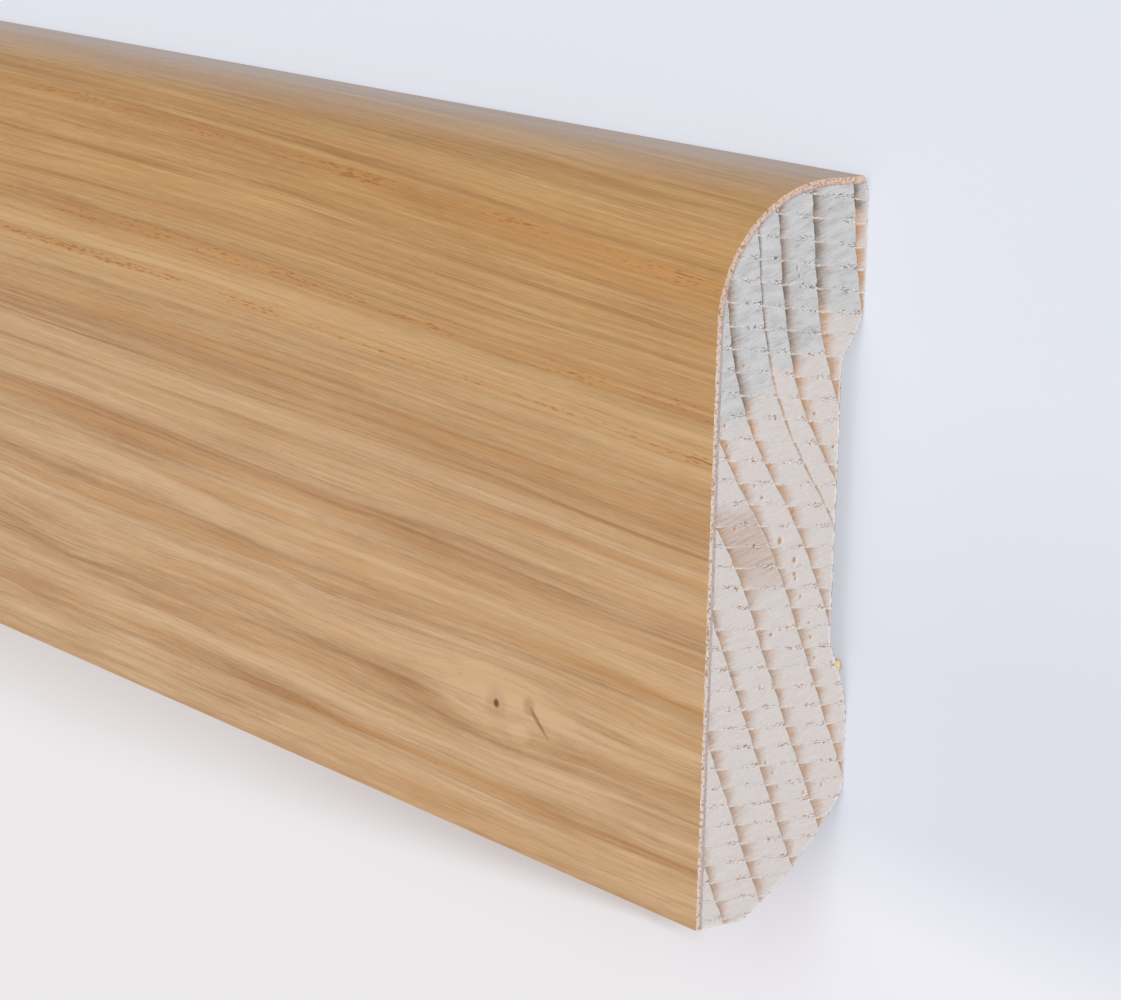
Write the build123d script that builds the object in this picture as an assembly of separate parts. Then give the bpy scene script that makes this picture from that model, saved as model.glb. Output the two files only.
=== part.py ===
"""Wrapped skirting moulding: a softwood core with a rounded top, faced and edged with one sheet of oak veneer.

The moulding lies on its back, as stock is stored. X runs along the stock, Y points up the wall that the moulding
will stand against, from its floor edge to its top edge, and Z points out of that wall, from the back to the front
face. The origin is in the middle of the back plane. All sizes are in millimetres.
"""

from build123d import *

import os

# Overall sizes of the finished moulding, veneer included
stock_length = 2400.0
board_height = 60.0
board_depth = 15.0

# Veneer: one sheet, bent over the rounded top from the front face to the back edge
veneer_thickness = 0.6
top_round_radius = 11.0

# Light bevel along the top back edge, which trims the veneer clear of the wall
back_bevel_depth = 0.6
back_bevel_drop = 1.6

# Shallow relief along the back, so that only an upper and a lower pad touch the wall
upper_pad_height = 11.2
upper_bevel_run = 3.5
upper_crest_radius = 2.5
lower_crest_above_floor = 17.2
lower_bevel_run = 5.0
lower_crest_radius = 12.0
relief_depth = 2.1
relief_root_radius = 1.2

# Heel: the cut-back lower corner behind the foot, slightly convex
foot_width = 4.7
heel_rise = 9.6
heel_radius = 30.0
heel_crest_radius = 3.0

# Places that follow from the sizes
floor_edge = -board_height / 2
top_edge = board_height / 2
upper_crest = (top_edge - upper_pad_height, 0)
upper_root = (top_edge - upper_pad_height - upper_bevel_run, relief_depth)
lower_crest = (floor_edge + lower_crest_above_floor, 0)
lower_root = (floor_edge + lower_crest_above_floor + lower_bevel_run, relief_depth)
heel_crest = (floor_edge + heel_rise, 0)
heel_foot = (floor_edge, board_depth - foot_width)


def moulding_section():
    """The whole cross-section, veneer included, across the stock."""
    front_bottom = (floor_edge, board_depth)
    round_start = (top_edge - top_round_radius, board_depth)
    round_end = (top_edge, board_depth - top_round_radius)
    bevel_start = (top_edge, back_bevel_depth)
    bevel_end = (top_edge - back_bevel_drop, 0)

    with BuildSketch(Plane.YZ) as section:
        with BuildLine():
            Line(front_bottom, round_start)
            RadiusArc(round_start, round_end, top_round_radius)
            Polyline(round_end, bevel_start, bevel_end, upper_crest)
            Polyline(upper_crest, upper_root, lower_root, lower_crest, heel_crest)
            RadiusArc(heel_crest, heel_foot, heel_radius)
            Line(heel_foot, front_bottom)
        make_face()
        fillet(corner_at(section, upper_crest), upper_crest_radius)
        fillet(corner_at(section, upper_root), relief_root_radius)
        fillet(corner_at(section, lower_root), relief_root_radius)
        fillet(corner_at(section, lower_crest), lower_crest_radius)
        fillet(corner_at(section, heel_crest), heel_crest_radius)
    return section.sketch


def corner_at(section, place):
    """The corner of a section that lies nearest to a place, given as up the wall and out of it."""
    return section.vertices().sort_by_distance((*place, 0))[0]


def inside_the_veneer():
    """The area that the veneer wraps. It ends at the veneer's inner face and runs on past the back and the foot."""
    inner_front = board_depth - veneer_thickness
    inner_top = top_edge - veneer_thickness
    inner_radius = top_round_radius - veneer_thickness
    past_foot = floor_edge - board_depth
    past_back = -board_depth
    round_start = (inner_top - inner_radius, inner_front)
    round_end = (inner_top, inner_front - inner_radius)

    with BuildSketch(Plane.YZ) as inside:
        with BuildLine():
            Line((past_foot, inner_front), round_start)
            RadiusArc(round_start, round_end, inner_radius)
            Polyline(round_end, (inner_top, past_back), (past_foot, past_back), (past_foot, inner_front))
        make_face()
    return inside.sketch


def run_to_length(section):
    """Runs a section along the stock, half of the length each way from the middle."""
    return extrude(section, amount=stock_length / 2, both=True, dir=(1, 0, 0))


def softwood_core():
    """The planed softwood moulding that carries the veneer."""
    return run_to_length(moulding_section() & inside_the_veneer())


def oak_veneer():
    """The veneer sheet over the front face, the rounded top edge and the flat behind it."""
    return run_to_length(moulding_section() - inside_the_veneer())


os.makedirs("parts", exist_ok=True)
export_step(softwood_core(), "parts/softwood_core.step")
export_step(oak_veneer(), "parts/oak_veneer.step")
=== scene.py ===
"""Wrapped skirting moulding: a sawn and planed softwood core under one sheet of lacquered oak veneer.

The strip lies on its back. X runs along it to the sawn end that the camera looks at, Y points up
the moulding to its rounded edge and Z points from the back pads to the front face. Lengths are
metres unless a name ends in _mm.
"""

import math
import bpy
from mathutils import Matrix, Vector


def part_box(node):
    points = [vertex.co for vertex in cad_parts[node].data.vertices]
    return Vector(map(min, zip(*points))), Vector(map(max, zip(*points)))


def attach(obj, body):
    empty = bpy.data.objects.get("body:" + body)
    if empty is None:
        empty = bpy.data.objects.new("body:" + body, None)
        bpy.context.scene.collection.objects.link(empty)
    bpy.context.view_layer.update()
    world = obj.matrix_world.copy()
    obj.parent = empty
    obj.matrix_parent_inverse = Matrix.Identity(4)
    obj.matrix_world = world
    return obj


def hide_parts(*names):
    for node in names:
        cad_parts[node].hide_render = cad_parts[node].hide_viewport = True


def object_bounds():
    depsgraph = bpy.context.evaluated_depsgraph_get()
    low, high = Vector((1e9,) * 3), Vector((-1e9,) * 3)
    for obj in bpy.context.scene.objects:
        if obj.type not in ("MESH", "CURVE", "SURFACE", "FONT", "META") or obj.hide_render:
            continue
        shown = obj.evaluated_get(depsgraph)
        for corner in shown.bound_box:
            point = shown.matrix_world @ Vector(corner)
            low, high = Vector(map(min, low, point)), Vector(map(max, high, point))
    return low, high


bl_info = {
    "name": "Wrapped Skirting Moulding",
    "version": (1, 0, 0),
    "blender": (4, 5, 0),
    "location": "3D View > Sidebar > Moulding",
    "description": "A length of softwood skirting wrapped in oak veneer, with its sawn ends",
    "category": "Add Mesh",
}

from functools import partial
from types import SimpleNamespace

import bmesh
import bpy
import numpy
from bpy.props import FloatProperty, FloatVectorProperty, IntProperty, PointerProperty
from mathutils import Matrix, Vector, noise
from mathutils.kdtree import KDTree

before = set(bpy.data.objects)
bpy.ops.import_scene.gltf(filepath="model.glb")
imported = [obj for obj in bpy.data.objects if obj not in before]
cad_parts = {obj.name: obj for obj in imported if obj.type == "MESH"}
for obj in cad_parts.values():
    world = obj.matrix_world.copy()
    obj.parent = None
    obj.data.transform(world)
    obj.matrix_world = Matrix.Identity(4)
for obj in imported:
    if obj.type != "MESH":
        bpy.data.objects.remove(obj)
cad_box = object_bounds()

MM = 0.001
X, Y, Z = 0, 1, 2
CORE_LOW, CORE_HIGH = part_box("softwood_core")
STRIP_LOW, STRIP_HIGH = cad_box

# Settings that many nodes share
SMOOTH = {"interpolation_type": "SMOOTHSTEP"}
RGBA = {"data_type": "RGBA"}

# Vertices closer than this are in the same place, a cut takes in those this near, and these are welded
SAME_PLACE = 0.001 * MM
CUT_REACH = 0.0001 * MM
WELD_REACH = 0.002 * MM

# Edges that turn by more than this stay sharp
ARRIS_ANGLE = math.radians(40)

# Cells of the veneer's section up the front, round the top and over the flat behind it
VENEER_CELLS = (440, 156, 30)

# The bead of resin, and where it sits
BEAD_SIZE = (0.7 * MM, 1.15 * MM, 0.95 * MM)
BEAD_ABOVE_FOOT = 20.0 * MM
BEAD_BEHIND_END = 0.38 * MM
BEAD_SUNK = 0.16 * MM

# How far the floor reaches, where the two soft lights come from and how bright the camera sees the sky
FLOOR_REACH = 12.0
KEY_FROM = (0.36, 0.36, 0.86)
FILL_FROM = (0.93, 0.05, 0.36)
LIGHT_SPREAD = math.radians(50)
SKY_SEEN = 0.95

# The camera's axes to its right, above it and behind it, and its place, fitted to the strip's edges
CAMERA_AXES = (
    (0.592440, 0.026844, -0.805167),
    (-0.185138, 0.977232, -0.103644),
    (0.784053, 0.210470, 0.583921),
)
CAMERA_PLACE = (1.424505, 0.067159, 0.196899)

# Growth rings on the sawn end: where each dark line lies across them, in mm from the back to the front
RING_LINES_MM = (-14.0, -9.07, -4.54, -0.96, 1.31, 4.94, 8.33, 12.43, 16.31, 20.63, 24.81, 29.0, 33.2, 37.4)

# Resin canals that show on the sawn end: out of the wall, up the moulding, width and height, in mm
RESIN_CANALS_MM = (
    (7.79, 1.23, 0.42, 0.62),
    (6.21, -0.50, 0.40, 0.50),
    (6.14, -1.65, 0.34, 0.36),
    (6.02, -2.05, 0.22, 0.40),
    (5.42, -3.63, 0.26, 0.24),
    (12.44, 2.73, 0.24, 0.28),
    (9.84, 4.95, 0.30, 0.30),
    (10.64, 6.00, 0.20, 0.26),
    (2.62, 8.35, 0.34, 0.28),
    (13.57, 9.46, 0.20, 0.36),
    (13.84, 11.12, 0.22, 0.36),
    (10.34, 1.15, 0.18, 0.20),
    (11.97, -2.26, 0.22, 0.30),
    (8.31, -6.40, 0.36, 0.30),
    (4.41, -5.91, 0.22, 0.22),
    (4.15, -7.10, 0.26, 0.26),
    (3.67, -8.91, 0.26, 0.26),
    (2.35, -7.92, 0.20, 0.24),
    (1.87, -9.48, 0.20, 0.20),
    (8.38, -17.0, 0.20, 0.34),
    (7.61, -17.96, 0.18, 0.24),
    (7.06, -19.21, 0.18, 0.24),
    (2.37, -19.77, 0.16, 0.46),
    (4.27, -20.12, 0.24, 0.30),
    (4.75, 11.25, 0.34, 0.30),
    (12.20, 15.70, 0.20, 0.18),
    (7.10, 23.10, 0.14, 0.56),
    (6.88, 22.45, 0.13, 0.44),
)

# Lowest height in mm that the wood is greyed down to in each ring, from the back to the front
GREY_FLOORS_MM = (28.0, 19.4, 16.2, 16.2, 12.4, 11.4, 10.6, 10.6)

# The ring whose latewood is narrow, and the ring that holds the stained patch
NARROW_RING = 3.0
STAINED_RING = 6.0

# Tone of the veneer, from 0 darkest to 1 palest, at heights above the foot in mm on the flat sheet
OAK_BANDS_MM = (
    (0.0, 0.60),
    (3.6, 0.78),
    (4.9, 0.40),
    (7.2, 0.78),
    (9.6, 0.46),
    (11.2, 0.44),
    (12.6, 0.74),
    (14.6, 0.70),
    (17.2, 0.40),
    (18.6, 0.80),
    (20.6, 0.66),
    (23.4, 0.30),
    (24.6, 0.66),
    (28.6, 0.74),
    (30.0, 0.66),
    (31.2, 0.36),
    (34.6, 0.48),
    (36.4, 0.70),
    (39.6, 0.80),
    (41.4, 0.44),
    (43.4, 0.60),
    (46.4, 0.64),
    (48.6, 0.56),
    (50.6, 0.44),
    (52.6, 0.52),
    (54.6, 0.64),
    (56.9, 0.62),
    (57.7, 0.50),
    (58.6, 0.66),
    (66.0, 0.66),
    (74.0, 0.44),
    (82.0, 0.60),
)

# Marks along the veneer: height in mm on the flat sheet, strength of the dark line, share of pores
OAK_MARKS_MM = (
    (5.0, 0.5, 0.5),
    (23.6, 0.5, 0.1),
    (27.8, 0.6, 0.1),
    (30.4, 1.0, 0.1),
    (38.0, 0.2, 0.8),
    (41.6, 0.4, 1.0),
    (44.4, 0.7, 0.2),
    (47.7, 0.9, 0.2),
    (51.8, 0.4, 1.0),
    (53.3, 0.9, 0.2),
)

# Fibre in the veneer, from growth rings to single vessels: length and thickness in mm, and its share of tone
OAK_FIBRES_MM = ((110.0, 0.9, 0.20), (40.0, 0.35, 0.22), (12.0, 0.13, 0.20), (2.4, 0.11, 0.16))

# The top of the bands, where the flat front ends, and the pin knot's place from the sawn end and the foot
TOP_BAND_MM = OAK_BANDS_MM[-1][0]
FLAT_FACE_MM = 49.0
KNOT_ALONG_MM = 28.1
KNOT_HEIGHT_MM = 12.3


def to_linear(code):
    """Turns an sRGB hex colour into the linear red, green, blue and alpha that Blender works in."""
    linear = []
    for place in (1, 3, 5):
        part = int(code[place : place + 2], 16) / 255
        linear.append(part / 12.92 if part <= 0.04045 else ((part + 0.055) / 1.055) ** 2.4)
    return (*linear, 1.0)


def hex_colour(code, name, description):
    """A colour setting with its default written as sRGB hex."""
    return FloatVectorProperty(
        name=name, description=description, subtype="COLOR", size=4, min=0, max=1, default=to_linear(code)
    )


def size(metres, name, description):
    """A length setting in metres."""
    return FloatProperty(
        name=name, description=description, default=metres, min=0, unit="LENGTH", precision=4
    )


class SectionSizes(bpy.types.PropertyGroup):
    """The moulding's section, veneer included."""

    veneer: size(0.6 * MM, "Veneer thickness", "Thickness of the oak sheet")
    top_round: size(11.0 * MM, "Top round", "Radius of the rounded top edge, over the veneer")
    bevel_depth: size(0.6 * MM, "Back bevel depth", "How far the bevel reaches along the top face")
    bevel_drop: size(1.6 * MM, "Back bevel drop", "How far the bevel reaches down the back")
    upper_pad: size(11.2 * MM, "Upper pad", "Height of the upper back pad, bevel included")
    upper_run: size(3.5 * MM, "Upper slope", "Height of the slope under the upper pad")
    upper_crest: size(2.5 * MM, "Upper crest", "Radius where the upper pad meets its slope")
    lower_pad: size(17.2 * MM, "Lower pad top", "Height of the top of the lower pad over the foot")
    lower_run: size(5.0 * MM, "Lower slope", "Height of the slope over the lower pad")
    lower_crest: size(12.0 * MM, "Lower crest", "Radius where the lower pad meets its slope")
    relief: size(2.1 * MM, "Back relief", "Depth of the relief between the pads")
    relief_root: size(1.2 * MM, "Relief root", "Radius in the corners of the relief")
    foot: size(4.7 * MM, "Foot width", "Width of the flat foot, veneer included")
    heel_rise: size(9.6 * MM, "Heel rise", "Height at which the heel leaves the back")
    heel_round: size(30.0 * MM, "Heel round", "Radius of the slightly convex heel")
    heel_crest: size(3.0 * MM, "Heel crest", "Radius where the heel leaves the back")
    rounds: IntProperty(name="Round steps", description="Segments of each round", default=10, min=2)


class SawnEndSizes(bpy.types.PropertyGroup):
    """What the saw left on both ends."""

    near_cell: size(0.112 * MM, "Near cell", "Mesh size of the relief on the end that the camera sees")
    far_cell: size(0.2 * MM, "Far cell", "Mesh size of the relief on the other end")
    tooth_step: size(0.045 * MM, "Tooth step", "Height of the lip that each saw tooth left")
    ring_step: size(0.045 * MM, "Ring step", "Height of the step at each growth ring")
    tear: size(0.034 * MM, "Torn fibres", "Height of the fibres that the teeth tore up")
    fray: size(0.15 * MM, "Frayed arris", "How far the back arris is nibbled away")
    rim: size(0.5 * MM, "Fuzzy rim", "How far in from the arris the cut is fuzzy")


class SoftwoodColours(bpy.types.PropertyGroup):
    """Raw spruce, on its planed faces and its sawn ends."""

    sawn_cool: hex_colour("#D3D3D4", "Sawn, cool", "Earlywood where mineral dust has greyed the cut")
    sawn_warm: hex_colour("#E0D8D4", "Sawn, warm", "Earlywood on the clean part of the cut")
    late_cool: hex_colour("#A89E96", "Latewood, cool", "Dense part of a ring where the cut is greyed")
    late_high: hex_colour("#D2A783", "Latewood, high", "Dense part of a clean ring, near the top")
    late_low: hex_colour("#CCAC95", "Latewood, low", "Dense part of a clean ring, near the foot")
    score: hex_colour("#8E8C90", "Score line", "Dust in the finest score lines")
    # Torn fibre specks: darker fibre, with painted shade in the hollows between the fibres
    speck_and_shade_cool: hex_colour("#65615F", "Torn fibre, cool", "Hollows between torn fibres, greyed")
    speck_and_shade_warm: hex_colour("#A97E60", "Torn fibre, warm", "Hollows between torn fibres, clean")
    # Also the colour of the painted highlights along the lips, on the ring arrises and on raised torn fibre
    fuzz_and_highlight: hex_colour("#F1ECE9", "Fuzz", "Raised fibre ends")
    resin: hex_colour("#C68E54", "Resin", "Resin in open canals")
    stain: hex_colour("#C3A28E", "Stain", "Pinkish brown patch of resin-soaked wood")
    planed: hex_colour("#EFDCC6", "Planed", "Earlywood along the planed faces")
    planed_late: hex_colour("#D6AF8A", "Planed latewood", "Latewood lines along the planed faces")


class OakColours(bpy.types.PropertyGroup):
    """Lacquered oak and its cut edge."""

    pale_low: hex_colour("#D8B388", "Pale band, low", "Earlywood bands over the foot")
    pale_high: hex_colour("#D3A971", "Pale band, high", "Earlywood bands near the top edge")
    dark_low: hex_colour("#A97C50", "Dark band, low", "Latewood bands over the foot")
    dark_high: hex_colour("#A06E3C", "Dark band, high", "Latewood bands near the top edge")
    pore: hex_colour("#96602C", "Pore", "Open pores filled with lacquer")
    streak: hex_colour("#CA9050", "Streak", "Warmer streaks in the bands")
    knot: hex_colour("#6A2E12", "Pin knot", "Heart of the small knot")
    curl: hex_colour("#8C5430", "Curl", "Dark curl of fibre beside the knot")
    cut: hex_colour("#E8D8CC", "Cut edge", "Cut edge of the sheet")
    cut_pore: hex_colour("#BC8452", "Cut pore", "Pores along the cut edge")
    cut_top: hex_colour("#E3C9B8", "Cut edge, top", "Cut edge of the sheet round the top")
    glue: hex_colour("#BBAAAA", "Glue line", "Glue between the sheet and the core")


class StageSettings(bpy.types.PropertyGroup):
    """Floor, light and camera."""

    floor_back: hex_colour("#E4E7F0", "Floor, back", "Floor past the top edge")
    floor_middle: hex_colour("#DDE0E9", "Floor, middle", "Floor past the sawn end")
    floor_front: hex_colour("#EFEEF5", "Floor, front", "Floor below the foot, past the sawn end")
    floor_left: hex_colour("#EFEBEC", "Floor, left", "Floor below the foot, beside the front face")
    floor_under: hex_colour("#D6CDCA", "Floor, under", "Soft shadow of the lower front edge")
    floor_plain: hex_colour("#E2E5EC", "Floor, plain", "Floor away from the near end")
    key: FloatProperty(name="Key", description="Strength of the soft light over the front", default=1.85)
    fill: FloatProperty(name="Fill", description="Strength of the soft light on the end", default=1.35)
    sky: FloatProperty(name="Sky", description="Strength of the light from all round", default=0.35)
    lens: FloatProperty(name="Lens", description="Focal length in mm", default=121.36)


def add(tree, kind, *feeds, stops=None, **settings):
    """Adds a node with its settings, feeds its sockets in order and returns its first output socket."""
    made = tree.nodes.new("ShaderNode" + kind)
    for name, value in settings.items():
        setattr(made, name, value)
    if stops:
        ramp = made.color_ramp
        while len(ramp.elements) < len(stops):
            ramp.elements.new(1.0)
        for element, (place, colour) in zip(ramp.elements, stops):
            element.position = place
            element.color = colour
    open_sockets = [socket for socket in made.inputs if socket.enabled]
    for socket, feed in zip(open_sockets, feeds):
        if isinstance(feed, bpy.types.NodeSocket):
            tree.links.new(feed, socket)
        elif feed is not None:
            socket.default_value = feed
    return next((socket for socket in made.outputs if socket.enabled), None)


def new_material(name):
    """An empty node material, and the function that adds a node to it."""
    material = bpy.data.materials.new(name)
    material.use_nodes = True
    material.node_tree.nodes.clear()
    return material, partial(add, material.node_tree)


def finish_surface(node, colour, roughness, normal, **sockets):
    """Ends a material in a Principled shader. Other sockets are set by name, on the shader itself."""
    shader = node("BsdfPrincipled").node
    for name, value in sockets.items():
        shader.inputs[name.replace("_", " ")].default_value = value
    for name, feed in (("Base Color", colour), ("Roughness", roughness), ("Normal", normal)):
        if isinstance(feed, bpy.types.NodeSocket):
            shader.id_data.links.new(feed, shader.inputs[name])
        elif feed is not None:
            shader.inputs[name].default_value = feed
    node("OutputMaterial", shader.outputs[0])


def place_in_mm(node):
    """Where a place is on its object, in mm."""
    return node("VectorMath", node("TexCoord").node.outputs["Object"], 1000.0, operation="SCALE")


def drawn_noise(node, place, size_mm, detail=2.0, roughness=0.6, turn=None, start=None):
    """Noise drawn out to a size of its own along each axis."""
    drawn = node("Mapping", place, start, turn, size_mm, vector_type="TEXTURE")
    return node("TexNoise", drawn, 1.0, detail, roughness)


def weighed(node, value, *patterns):
    """A value times patterns, each with the range that it is mapped from and the range it is mapped to."""
    for pattern, *ranges in patterns:
        value = node("Math", value, node("MapRange", pattern, *ranges), operation="MULTIPLY")
    return value


def shaded(node, colour, *patterns):
    """A colour made lighter or darker by patterns, each with its two ranges."""
    for pattern, *ranges in patterns:
        colour = node("VectorMath", colour, node("MapRange", pattern, *ranges), operation="SCALE")
    return colour


def smooth_above(value, bend):
    """Nothing below zero and the value itself above, rounded off over the bend."""
    near = numpy.maximum(bend - numpy.abs(value), 0) / bend
    return numpy.maximum(value, 0) + near**3 * bend / 6


def ring_coordinate(out_mm, up_mm):
    """Which growth ring a place on the section is in. Whole numbers are the dark lines, counted to the front.

    The pith lay far behind the foot, so the rings cross the section as long curves that steepen to the top.
    """
    lean = 0.153 * (out_mm - 7.5)
    lower_bend = smooth_above(up_mm - 2.047 + lean, 7.823)
    upper_bend = smooth_above(up_mm - 10.253 + lean, 16.475)
    across = out_mm - (0.421 * up_mm + 0.502 * lower_bend - 0.815 * upper_bend)
    return numpy.interp(across, RING_LINES_MM, range(len(RING_LINES_MM)))


def tooth_coordinate(out_mm, up_mm):
    """Which saw tooth's path a place on the sawn end is in: whole numbers are the lips between two paths.

    The paths are 1.55 mm apart at the foot and 1.85 mm at the top, and rise towards the front face.
    """
    slope = 0.115 + 0.0015 * up_mm
    level = up_mm - slope * (out_mm - 8.0)
    return 0.593 * level - 0.00105 * level**2 + 6.529


def wander(place, size_mm, seed):
    """Smooth noise from -1 to 1 at a place in mm."""
    return noise.noise(Vector((place[0] / size_mm, place[1] / size_mm, seed)))


def round_corner(bm, corner, radius, steps):
    """Rounds a corner of a flat outline with an arc of that radius."""
    one, other = [edge.other_vert(corner).co - corner.co for edge in corner.link_edges]
    reach = radius / math.tan(one.angle(other) / 2)
    bmesh.ops.bevel(
        bm,
        geom=[corner],
        offset=reach,
        offset_type="OFFSET",
        affect="VERTICES",
        segments=steps,
        profile=0.5,
        material=-1,
    )


def vertex_at(bm, up, out):
    """The outline's vertex nearest to a place."""
    place = Vector((0, up, out))
    return min(bm.verts, key=lambda vert: (vert.co - place).length)


def core_outline(bm, section):
    """The planed core's section, as one face across the stock."""
    foot_up = STRIP_LOW.y
    front = CORE_HIGH.z
    top = CORE_HIGH.y
    back = STRIP_LOW.z
    bevel_end = STRIP_HIGH.y - section.bevel_drop
    bevel_start_out = section.bevel_depth * (top - bevel_end) / section.bevel_drop
    upper_crest = STRIP_HIGH.y - section.upper_pad
    lower_crest = foot_up + section.lower_pad
    heel_crest = foot_up + section.heel_rise
    heel_foot_out = STRIP_HIGH.z - section.foot

    corners = (
        (foot_up, front),
        (top, front),
        (top, bevel_start_out),
        (bevel_end, back),
        (upper_crest, back),
        (upper_crest - section.upper_run, section.relief),
        (lower_crest + section.lower_run, section.relief),
        (lower_crest, back),
        (heel_crest, back),
    )
    for up, out in corners:
        bm.verts.new((0, up, out))

    heel_start = Vector((0, heel_crest, back))
    heel_end = Vector((0, foot_up, heel_foot_out))
    chord = heel_end - heel_start
    inward = Vector((0, chord.z, -chord.y)).normalized()
    half_turn = math.asin(chord.length / 2 / section.heel_round)
    centre = (heel_start + heel_end) / 2 + inward * section.heel_round * math.cos(half_turn)
    bm.verts.ensure_lookup_table()
    bmesh.ops.spin(
        bm,
        geom=[bm.verts[-1]],
        cent=centre,
        axis=(1, 0, 0),
        angle=-2 * half_turn,
        steps=section.rounds,
        use_duplicate=False,
    )
    bm.verts.ensure_lookup_table()
    outline = bm.faces.new(bm.verts[:])

    inner_round = section.top_round - section.veneer
    for up, out, radius in (
        (top, front, inner_round),
        (upper_crest, back, section.upper_crest),
        (upper_crest - section.upper_run, section.relief, section.relief_root),
        (lower_crest + section.lower_run, section.relief, section.relief_root),
        (lower_crest, back, section.lower_crest),
        (heel_crest, back, section.heel_crest),
    ):
        round_corner(bm, vertex_at(bm, up, out), radius, section.rounds)
    return outline


def run_to_length(bm):
    """Draws the flat section out to the strip's length, half of it each way."""
    bmesh.ops.translate(bm, verts=bm.verts[:], vec=(STRIP_LOW.x, 0, 0))
    drawn = bmesh.ops.extrude_face_region(bm, geom=bm.faces[:])
    moved = [part for part in drawn["geom"] if isinstance(part, bmesh.types.BMVert)]
    bmesh.ops.translate(bm, verts=moved, vec=(STRIP_HIGH.x - STRIP_LOW.x, 0, 0))
    bmesh.ops.recalc_face_normals(bm, faces=bm.faces[:])


def cut_across(bm, faces, axis, places):
    """Cuts faces by parallel planes, the middle one first, so that each cut meets few. Returns the pieces."""
    if not places:
        return faces
    middle = len(places) // 2
    point, normal = Vector(), Vector()
    point[axis] = places[middle]
    normal[axis] = 1
    parts = {part for face in faces for part in (face, *face.edges, *face.verts)}
    cut = bmesh.ops.bisect_plane(bm, geom=list(parts), dist=CUT_REACH, plane_co=point, plane_no=normal)
    sides = [[], []]
    for piece in cut["geom"]:
        if isinstance(piece, bmesh.types.BMFace):
            sides[piece.calc_center_median()[axis] > places[middle]].append(piece)
    below = cut_across(bm, sides[0], axis, places[:middle])
    return below + cut_across(bm, sides[1], axis, places[middle + 1 :])


def grid_places(low, high, cell):
    """Evenly spaced cutting places inside a range, about one cell apart."""
    count = round((high - low) / cell)
    return [low + (high - low) * step / count for step in range(1, count)]


def cut_ends_into_cells(bm, sawn):
    """Cuts both ends of the core, and a narrow band behind each, into cells fine enough for relief."""
    for end, cell in ((STRIP_HIGH.x, sawn.near_cell), (STRIP_LOW.x, sawn.far_cell)):
        side = math.copysign(1, end)
        bands = sorted(end - side * depth * MM for depth in (0.15, 0.4, 1.0))
        cut_across(bm, bm.faces[:], X, bands)
        block = [face for face in bm.faces if all(abs(vert.co.x - end) < 0.5 * MM for vert in face.verts)]
        block = cut_across(bm, block, Y, grid_places(CORE_LOW.y, CORE_HIGH.y, cell))
        cut_across(bm, block, Z, grid_places(CORE_LOW.z, CORE_HIGH.z, cell))

    # Cuts that pass close to a vertex of the section leave a second one beside it
    bmesh.ops.remove_doubles(bm, verts=bm.verts[:], dist=WELD_REACH)


def mark_arrises(bm):
    """Keeps edges sharp where two faces meet at more than the arris angle, and shades the rest smooth."""
    for face in bm.faces:
        face.smooth = True
    for edge in bm.edges:
        edge.smooth = edge.calc_face_angle(0) < ARRIS_ANGLE


def open_arris(bm):
    """The vertices along both ends' arrises where no veneer covers them, each with its way out."""
    found = {}
    for edge in bm.edges:
        if edge.smooth or len(edge.link_faces) != 2:
            continue
        sides = [face for face in edge.link_faces if abs(face.normal.x) < 0.5]
        if len(sides) != 1:
            continue
        outward = sides[0].normal
        if outward.z > 0.3 or outward.y > 0.6:
            continue
        for vert in edge.verts:
            found.setdefault(vert, outward.copy())
    return found


def sawn_relief(bm, sawn):
    """Presses the saw's and the rings' relief into both ends, and leaves the patterns' coordinates behind."""
    names = ("ring", "tooth", "resin", "rim")
    for name in names:
        bm.verts.layers.float.new(name)
    ring_layer, tooth_layer, resin_layer, rim_layer = (bm.verts.layers.float[name] for name in names)
    arris = open_arris(bm)
    nearest = KDTree(len(arris))
    for number, vert in enumerate(arris):
        nearest.insert(vert.co, number)
    nearest.balance()

    for vert in bm.verts:
        out_mm, up_mm = vert.co.z / MM, vert.co.y / MM
        place = (out_mm, up_mm)
        tooth = float(tooth_coordinate(out_mm, up_mm))
        tooth += 0.07 * wander(place, 3.1, 3) + 0.035 * wander(place, 0.6, 4)
        ring = float(ring_coordinate(out_mm, up_mm))
        ring += 0.030 * wander(place, 2.6, 1) + 0.006 * wander(place, 0.5, 2)
        ring += 0.020 * math.sin(math.pi * (tooth % 1))
        resin = max(
            1.3 - math.hypot((out_mm - out) / (0.5 * wide), (up_mm - up) / (0.5 * tall))
            for out, up, wide, tall in RESIN_CANALS_MM
        )
        vert[ring_layer] = ring
        vert[tooth_layer] = tooth
        vert[resin_layer] = min(max(resin, 0), 1)
        vert[rim_layer] = max(0, 1 - nearest.find(vert.co)[2] / sawn.rim)

        for end in (STRIP_LOW.x, STRIP_HIGH.x):
            if abs(vert.co.x - end) > SAME_PLACE:
                continue
            across = 1 - ring % 1
            stepped = tooth - 0.12 * (across - 0.5)
            below_lip = stepped % 1
            to_lip = min(below_lip, 1 - below_lip)
            torn = max(0, 1 - to_lip / 0.2) * max(0, min(1, (across - 0.35) / 0.3))
            depth = sawn.tooth_step * below_lip + sawn.ring_step * (1 - across)
            depth += sawn.tear * torn * (0.5 + 0.9 * wander(place, 0.22, 5))
            depth += 0.12 * sawn.tear * wander(place, 0.25, 6)
            depth += 0.10 * MM * vert[resin_layer]
            vert.co.x = end - math.copysign(max(depth, 0), end)


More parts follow.
